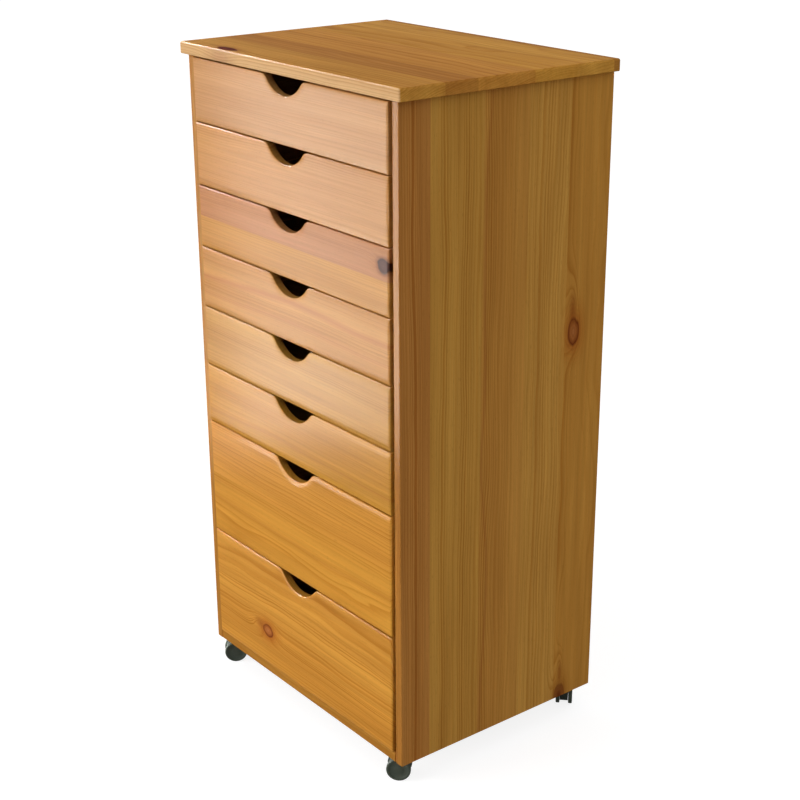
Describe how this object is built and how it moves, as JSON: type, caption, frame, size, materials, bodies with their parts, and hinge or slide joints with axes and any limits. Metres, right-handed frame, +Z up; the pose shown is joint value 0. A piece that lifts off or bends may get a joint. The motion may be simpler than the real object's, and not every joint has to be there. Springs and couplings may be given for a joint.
{
  "type": "rolling drawer cart",
  "caption": "Tall solid-wood drawer cart on twin-wheel swivel casters, with shallow drawers above deep ones, each with a curved finger notch.",
  "frame": {"origin": "on the floor under the centre of the top board", "axes": "+X to the right and +Y to the back, seen from the drawer fronts, and +Z up"},
  "size_m": [0.514, 0.3768, 1.004],
  "materials": {
    "pine": "clear satin lacquer on pine",
    "drawer_pine": "sanded pine with a thin clear coat",
    "plywood": "sanded plywood with a thin clear coat",
    "runner_wood": "planed beech, waxed",
    "dowel_wood": "raw beech",
    "caster_plastic": "dark grey-green nylon",
    "socket_plastic": "black nylon",
    "steel": "zinc-plated"
  },
  "bodies": {
    "cabinet": {"top_board": "pine", "left_side_panel": "pine", "right_side_panel": "pine", "back_panel": "plywood", "bottom_board": "pine", "drawer_runners": "runner_wood", "joint_dowels": "dowel_wood", "caster_sockets": "socket_plastic"},
    "drawer_1": {"drawer_1_front": "pine", "drawer_1_sides": "drawer_pine", "drawer_1_back": "drawer_pine", "drawer_1_bottom": "plywood"},
    "drawer_2": {"drawer_2_front": "pine", "drawer_2_sides": "drawer_pine", "drawer_2_back": "drawer_pine", "drawer_2_bottom": "plywood"},
    "drawer_3": {"drawer_3_front": "pine", "drawer_3_sides": "drawer_pine", "drawer_3_back": "drawer_pine", "drawer_3_bottom": "plywood"},
    "drawer_4": {"drawer_4_front": "pine", "drawer_4_sides": "drawer_pine", "drawer_4_back": "drawer_pine", "drawer_4_bottom": "plywood"},
    "drawer_5": {"drawer_5_front": "pine", "drawer_5_sides": "drawer_pine", "drawer_5_back": "drawer_pine", "drawer_5_bottom": "plywood"},
    "drawer_6": {"drawer_6_front": "pine", "drawer_6_sides": "drawer_pine", "drawer_6_back": "drawer_pine", "drawer_6_bottom": "plywood"},
    "drawer_7": {"drawer_7_front": "pine", "drawer_7_sides": "drawer_pine", "drawer_7_back": "drawer_pine", "drawer_7_bottom": "plywood"},
    "drawer_8": {"drawer_8_front": "pine", "drawer_8_sides": "drawer_pine", "drawer_8_back": "drawer_pine", "drawer_8_bottom": "plywood"},
    "front_left_caster": {"front_left_caster_hood": "caster_plastic", "front_left_caster_stem": "steel", "front_left_caster_axle": "steel"},
    "front_left_caster_left_wheel": {"front_left_caster_left_wheel": "caster_plastic"},
    "front_left_caster_right_wheel": {"front_left_caster_right_wheel": "caster_plastic"},
    "front_right_caster": {"front_right_caster_hood": "caster_plastic", "front_right_caster_stem": "steel", "front_right_caster_axle": "steel"},
    "front_right_caster_left_wheel": {"front_right_caster_left_wheel": "caster_plastic"},
    "front_right_caster_right_wheel": {"front_right_caster_right_wheel": "caster_plastic"},
    "back_left_caster": {"back_left_caster_hood": "caster_plastic", "back_left_caster_stem": "steel", "back_left_caster_axle": "steel"},
    "back_left_caster_left_wheel": {"back_left_caster_left_wheel": "caster_plastic"},
    "back_left_caster_right_wheel": {"back_left_caster_right_wheel": "caster_plastic"},
    "back_right_caster": {"back_right_caster_hood": "caster_plastic", "back_right_caster_stem": "steel", "back_right_caster_axle": "steel"},
    "back_right_caster_left_wheel": {"back_right_caster_left_wheel": "caster_plastic"},
    "back_right_caster_right_wheel": {"back_right_caster_right_wheel": "caster_plastic"}
  },
  "joints": [
    {"name": "drawer_1_slide", "type": "slide", "parent": "cabinet", "child": "drawer_1", "axis": [0, -1, 0], "range_m": [0, 0.25]},
    {"name": "drawer_2_slide", "type": "slide", "parent": "cabinet", "child": "drawer_2", "axis": [0, -1, 0], "range_m": [0, 0.25]},
    {"name": "drawer_3_slide", "type": "slide", "parent": "cabinet", "child": "drawer_3", "axis": [0, -1, 0], "range_m": [0, 0.25]},
    {"name": "drawer_4_slide", "type": "slide", "parent": "cabinet", "child": "drawer_4", "axis": [0, -1, 0], "range_m": [0, 0.25]},
    {"name": "drawer_5_slide", "type": "slide", "parent": "cabinet", "child": "drawer_5", "axis": [0, -1, 0], "range_m": [0, 0.25]},
    {"name": "drawer_6_slide", "type": "slide", "parent": "cabinet", "child": "drawer_6", "axis": [0, -1, 0], "range_m": [0, 0.25]},
    {"name": "drawer_7_slide", "type": "slide", "parent": "cabinet", "child": "drawer_7", "axis": [0, -1, 0], "range_m": [0, 0.25]},
    {"name": "drawer_8_slide", "type": "slide", "parent": "cabinet", "child": "drawer_8", "axis": [0, -1, 0], "range_m": [0, 0.25]},
    {"name": "front_left_caster_swivel", "type": "hinge", "parent": "cabinet", "child": "front_left_caster", "pos_m": [-0.219, -0.155, 0.0388], "axis": [0, 0, 1], "continuous": true},
    {"name": "front_left_caster_left_wheel_spin", "type": "hinge", "parent": "front_left_caster", "child": "front_left_caster_left_wheel", "pos_m": [-0.22324, -0.16178, 0.018], "axis": [0.848, -0.5299, 0], "continuous": true},
    {"name": "front_left_caster_right_wheel_spin", "type": "hinge", "parent": "front_left_caster", "child": "front_left_caster_right_wheel", "pos_m": [-0.22324, -0.16178, 0.018], "axis": [0.848, -0.5299, 0], "continuous": true},
    {"name": "front_right_caster_swivel", "type": "hinge", "parent": "cabinet", "child": "front_right_caster", "pos_m": [0.219, -0.155, 0.0388], "axis": [0, 0, 1], "continuous": true},
    {"name": "front_right_caster_left_wheel_spin", "type": "hinge", "parent": "front_right_caster", "child": "front_right_caster_left_wheel", "pos_m": [0.21339, -0.16071, 0.018], "axis": [0.7133, -0.7009, 0], "continuous": true},
    {"name": "front_right_caster_right_wheel_spin", "type": "hinge", "parent": "front_right_caster", "child": "front_right_caster_right_wheel", "pos_m": [0.21339, -0.16071, 0.018], "axis": [0.7133, -0.7009, 0], "continuous": true},
    {"name": "back_left_caster_swivel", "type": "hinge", "parent": "cabinet", "child": "back_left_caster", "pos_m": [-0.219, 0.162, 0.0388], "axis": [0, 0, 1], "continuous": true},
    {"name": "back_left_caster_left_wheel_spin", "type": "hinge", "parent": "back_left_caster", "child": "back_left_caster_left_wheel", "pos_m": [-0.22578, 0.15776, 0.018], "axis": [0.5299, -0.848, 0], "continuous": true},
    {"name": "back_left_caster_right_wheel_spin", "type": "hinge", "parent": "back_left_caster", "child": "back_left_caster_right_wheel", "pos_m": [-0.22578, 0.15776, 0.018], "axis": [0.5299, -0.848, 0], "continuous": true},
    {"name": "back_right_caster_swivel", "type": "hinge", "parent": "cabinet", "child": "back_right_caster", "pos_m": [0.219, 0.162, 0.0388], "axis": [0, 0, 1], "continuous": true},
    {"name": "back_right_caster_left_wheel_spin", "type": "hinge", "parent": "back_right_caster", "child": "back_right_caster_left_wheel", "pos_m": [0.21339, 0.16771, 0.018], "axis": [-0.7133, -0.7009, 0], "continuous": true},
    {"name": "back_right_caster_right_wheel_spin", "type": "hinge", "parent": "back_right_caster", "child": "back_right_caster_right_wheel", "pos_m": [0.21339, 0.16771, 0.018], "axis": [-0.7133, -0.7009, 0], "continuous": true}
  ]
}
